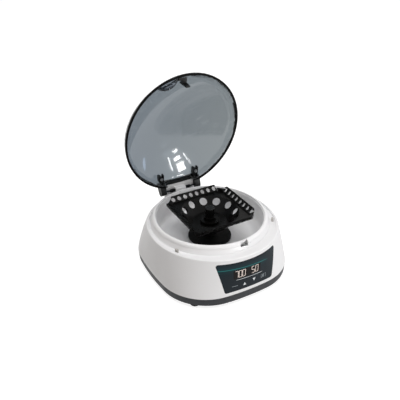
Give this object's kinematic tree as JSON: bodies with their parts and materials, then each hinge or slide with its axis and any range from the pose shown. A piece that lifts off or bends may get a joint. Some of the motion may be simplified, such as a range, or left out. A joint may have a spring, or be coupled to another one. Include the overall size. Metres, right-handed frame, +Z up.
{
  "type": "blood centrifuge",
  "caption": "Small bench centrifuge with a domed smoked lid open on its hinge, a round metal chamber, a square black tube rotor and a front control panel.",
  "frame": {"origin": "centre of the outline's bounding box seen from above with the lid open, on the table under the feet", "axes": "+Z up, the control panel faces -Y, +X to the right of someone who faces the panel"},
  "size_m": [0.1818, 0.2074, 0.2457],
  "materials": {
    "housing_plastic": "glossy white moulding",
    "tray_plastic": "fine grained charcoal",
    "foot_rubber": "matt",
    "screw_steel": "plain zinc",
    "bowl_steel": "satin spun",
    "boot_rubber": "matt",
    "rotor_plastic": "satin moulding",
    "knob_plastic": "glossy",
    "plated_steel": "plated",
    "stator_iron": "lacquered",
    "bracket_aluminium": "plain",
    "rod_steel": "ground",
    "lid_plastic": "smoked, glossy",
    "seal_rubber": "satin",
    "yoke_plastic": "satin",
    "panel_film": "printed film",
    "display_glass": "dark window",
    "board_laminate": "solder mask",
    "switch_plastic": "moulded",
    "rocker_plastic": "moulded",
    "bumper_rubber": "matt"
  },
  "bodies": {
    "housing": {"base_tray": "tray_plastic", "rubber_feet": "foot_rubber", "housing_screws": "screw_steel", "upper_housing": "housing_plastic", "chamber_bowl": "bowl_steel", "rubber_boot": "boot_rubber", "control_panel": "panel_film", "display_module": "display_glass", "control_board": "board_laminate", "power_board": "board_laminate", "latch_bracket": "plated_steel", "latch_solenoid": "plated_steel", "lid_switch": "switch_plastic", "ledge_bumpers": "bumper_rubber", "motor_can": "plated_steel", "motor_stator": "stator_iron", "motor_bearings": "screw_steel", "motor_bracket": "bracket_aluminium", "motor_isolators": "foot_rubber", "bracket_screws": "screw_steel", "hinge_rod": "rod_steel", "torsion_springs": "rod_steel", "switch_frame": "switch_plastic", "power_inlet": "switch_plastic"},
    "rotor_set": {"rotor": "rotor_plastic", "rotor_knob": "knob_plastic", "motor_shaft": "rod_steel", "motor_armature": "stator_iron"},
    "lid": {"lid_dome": "lid_plastic", "lid_seal": "seal_rubber", "hinge_yoke": "yoke_plastic", "latch_hook": "yoke_plastic", "lid_screws": "screw_steel"},
    "bolt": {"latch_bolt": "plated_steel"},
    "rocker": {"power_rocker": "rocker_plastic"}
  },
  "joints": [
    {"name": "rotor_spin", "type": "hinge", "parent": "housing", "child": "rotor_set", "pos_m": [0, -0.007, 0.07], "axis": [0, 0, 1], "continuous": true},
    {"name": "lid_hinge", "type": "hinge", "parent": "housing", "child": "lid", "pos_m": [0, 0.0784, 0.06955], "axis": [1, 0, 0], "range_deg": [0, 82.2], "stiffness_Nm_per_rad": 0.05, "springref_deg": -17.19},
    {"name": "latch_slide", "type": "slide", "parent": "housing", "child": "bolt", "axis": [1, 0, 0], "range_m": [0, 0.002], "stiffness_N_per_m": 300, "springref_m": -0.001},
    {"name": "rocker_tip", "type": "hinge", "parent": "housing", "child": "rocker", "pos_m": [0.019, 0.0748, 0.032], "axis": [1, 0, 0], "range_deg": [-16, 0]}
  ]
}
